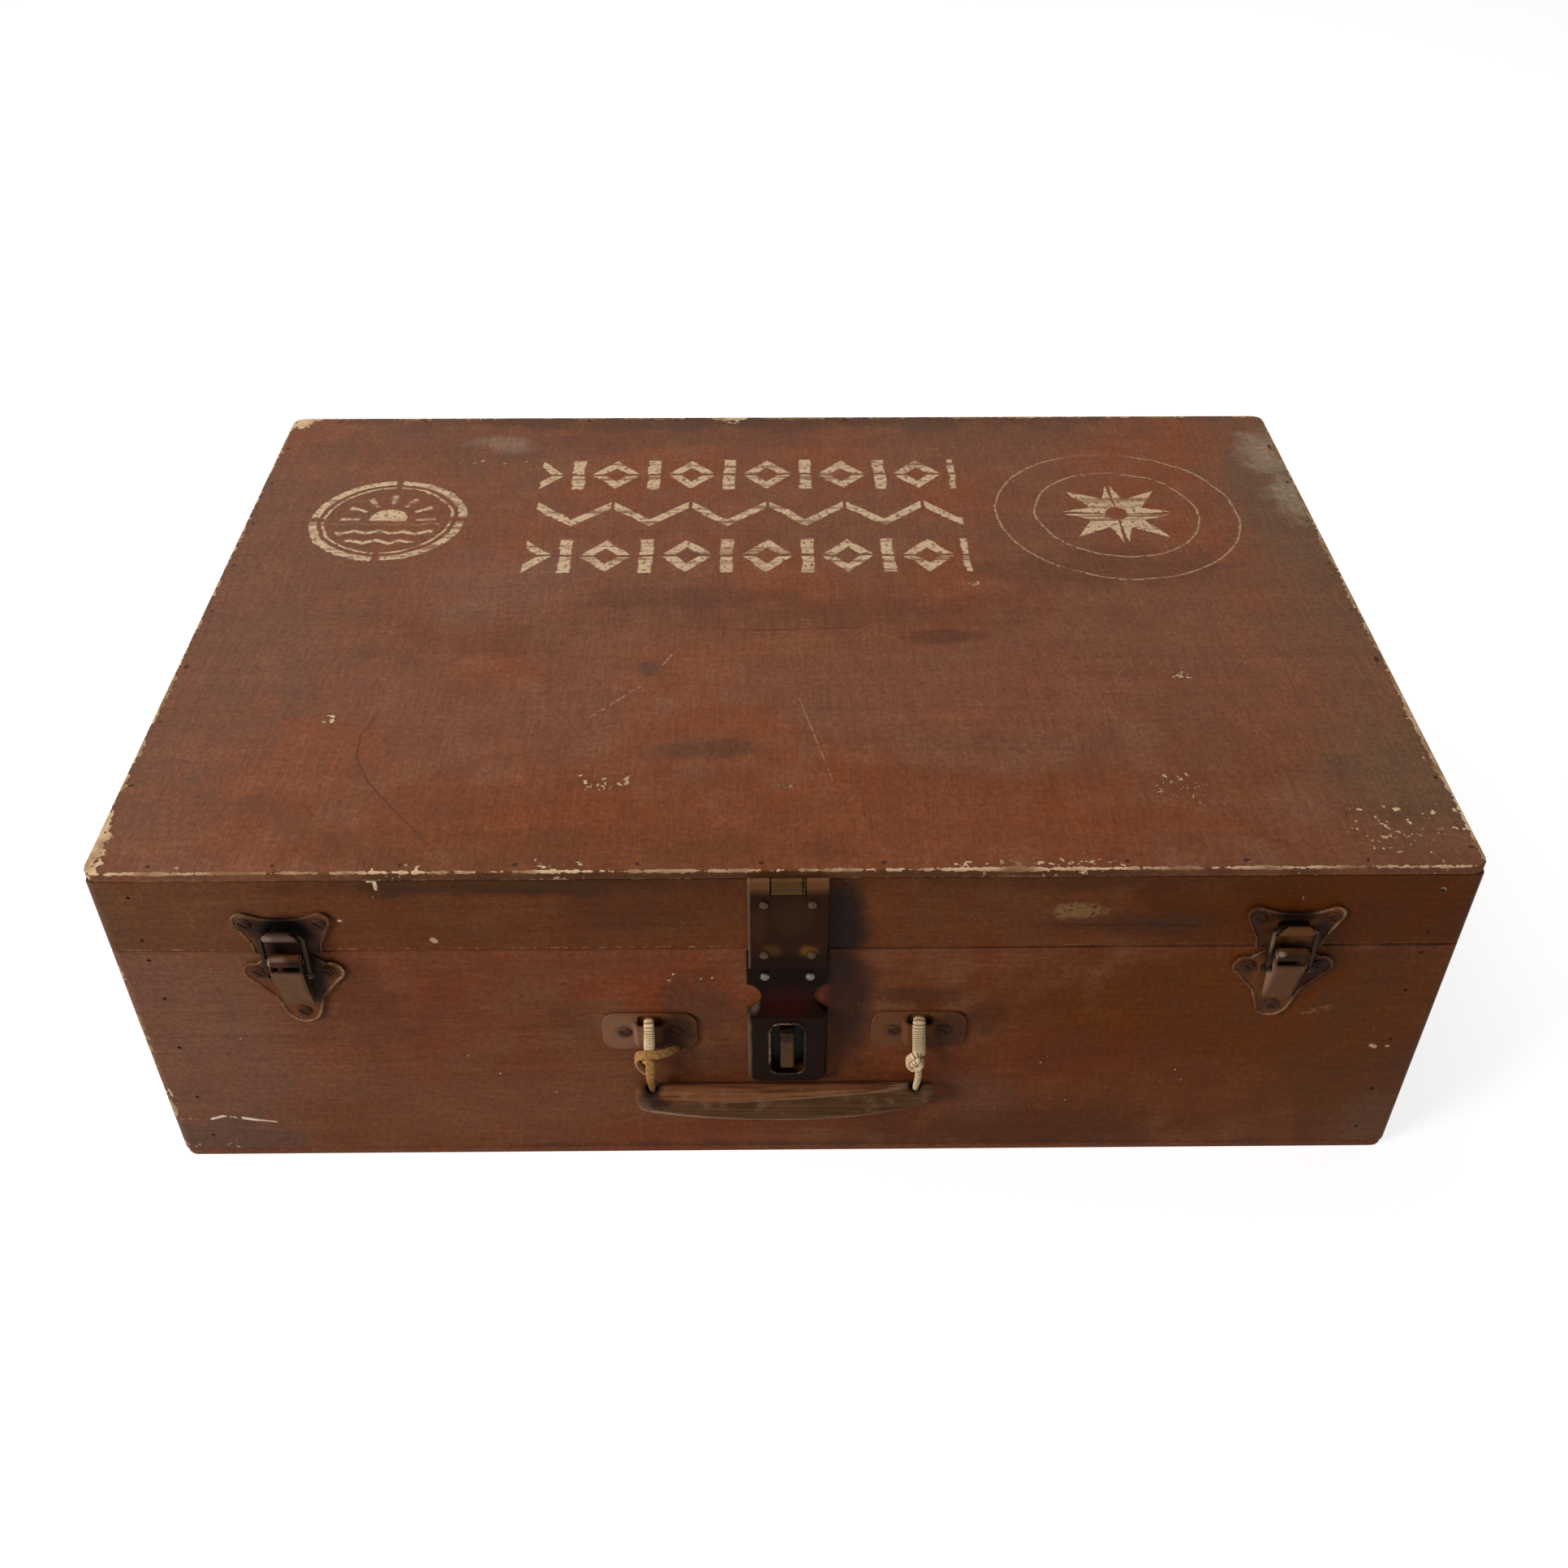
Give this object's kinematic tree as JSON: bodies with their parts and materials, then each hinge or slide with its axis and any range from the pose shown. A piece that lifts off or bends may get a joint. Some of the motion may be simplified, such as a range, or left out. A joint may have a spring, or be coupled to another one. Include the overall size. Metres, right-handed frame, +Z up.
{
  "type": "wooden trunk",
  "caption": "Flat wooden suitcase trunk with a lid hinged at the back, draw latches, a hasp lock and a tied-on carrying handle on the front.",
  "frame": {"origin": "centre of the underside", "axes": "+X across the width to the right as seen from the front, -Y out of the front with the lock, +Z up"},
  "size_m": [0.6, 0.4291, 0.192],
  "materials": {
    "painted_wood": "worn matt red-brown paint",
    "bare_wood": "bare",
    "painted_plate": "overpainted brown, worn",
    "dark_steel": "dark, tarnished",
    "steel": "dull",
    "brass": "tarnished",
    "leather": "worn",
    "tan_leather": "worn",
    "cord": "soiled"
  },
  "bodies": {
    "base": {"base_front_board": "painted_wood", "base_back_board": "painted_wood", "base_left_board": "painted_wood", "base_right_board": "painted_wood", "base_front_left_post": "bare_wood", "base_front_right_post": "bare_wood", "base_back_left_post": "bare_wood", "base_back_right_post": "bare_wood", "base_bottom_panel": "painted_wood", "left_latch_plate": "painted_plate", "right_latch_plate": "painted_plate", "left_latch_pin": "dark_steel", "right_latch_pin": "dark_steel", "lock_case": "dark_steel", "lock_left_nail": "steel", "lock_right_nail": "steel", "lock_spring": "steel", "left_handle_plate": "painted_plate", "right_handle_plate": "painted_plate", "left_tie_loop": "tan_leather", "right_tie_loop": "cord", "left_hinge_base_leaf": "painted_plate", "right_hinge_base_leaf": "painted_plate", "left_hinge_pin": "dark_steel", "right_hinge_pin": "dark_steel"},
    "lid": {"lid_front_board": "painted_wood", "lid_back_board": "painted_wood", "lid_left_board": "painted_wood", "lid_right_board": "painted_wood", "lid_front_left_post": "bare_wood", "lid_front_right_post": "bare_wood", "lid_back_left_post": "bare_wood", "lid_back_right_post": "bare_wood", "lid_top_panel": "painted_wood", "left_catch_plate": "painted_plate", "right_catch_plate": "painted_plate", "hasp_lid_leaf": "brass", "hasp_pin": "brass", "left_hinge_lid_leaf": "painted_plate", "right_hinge_lid_leaf": "painted_plate"},
    "hasp": {"hasp_plate": "dark_steel", "hasp_staple": "dark_steel", "hasp_lower_left_rivet": "dark_steel", "hasp_lower_right_rivet": "dark_steel", "hasp_upper_left_rivet": "dark_steel", "hasp_upper_right_rivet": "dark_steel"},
    "left_lever": {"left_lever": "painted_plate", "left_loop_pin": "dark_steel"},
    "right_lever": {"right_lever": "painted_plate", "right_loop_pin": "dark_steel"},
    "left_loop": {"left_loop": "dark_steel"},
    "right_loop": {"right_loop": "dark_steel"},
    "lock_slide": {"lock_bolt": "steel", "lock_thumb_slide": "brass"},
    "handle": {"handle_grip": "leather", "left_tie_tail": "tan_leather", "right_tie_tail": "cord"}
  },
  "joints": [
    {"name": "lid_hinge", "type": "hinge", "parent": "base", "child": "lid", "pos_m": [0, 0.20905, 0.1447], "axis": [-1, 0, 0], "range_deg": [0, 180]},
    {"name": "hasp_hinge", "type": "hinge", "parent": "lid", "child": "hasp", "pos_m": [0, -0.2096, 0.1876], "axis": [-1, 0, 0], "range_deg": [0, 180]},
    {"name": "left_lever_hinge", "type": "hinge", "parent": "base", "child": "left_lever", "pos_m": [-0.2204, -0.2126, 0.1455], "axis": [-1, 0, 0], "range_deg": [0, 90]},
    {"name": "left_loop_hinge", "type": "hinge", "parent": "left_lever", "child": "left_loop", "pos_m": [-0.2204, -0.2126, 0.137], "axis": [-1, 0, 0], "range_deg": [-64.8, 0]},
    {"name": "right_lever_hinge", "type": "hinge", "parent": "base", "child": "right_lever", "pos_m": [0.2223, -0.2126, 0.1455], "axis": [-1, 0, 0], "range_deg": [0, 90]},
    {"name": "right_loop_hinge", "type": "hinge", "parent": "right_lever", "child": "right_loop", "pos_m": [0.2223, -0.2126, 0.137], "axis": [-1, 0, 0], "range_deg": [-64.8, 0]},
    {"name": "lock_slide_travel", "type": "slide", "parent": "base", "child": "lock_slide", "axis": [0, 0, 1], "range_m": [-0.003, 0], "stiffness_N_per_m": 300, "springref_m": 0.004, "deforming": ["lock_spring"]},
    {"name": "handle_swing", "type": "hinge", "parent": "base", "child": "handle", "pos_m": [0, -0.214, 0.0784], "axis": [-1, 0, 0], "range_deg": [0, 140]}
  ],
  "couplings": [
    {"joint": "left_loop_hinge", "follows": "left_lever_hinge", "ratio": -0.72},
    {"joint": "right_loop_hinge", "follows": "right_lever_hinge", "ratio": -0.72}
  ]
}
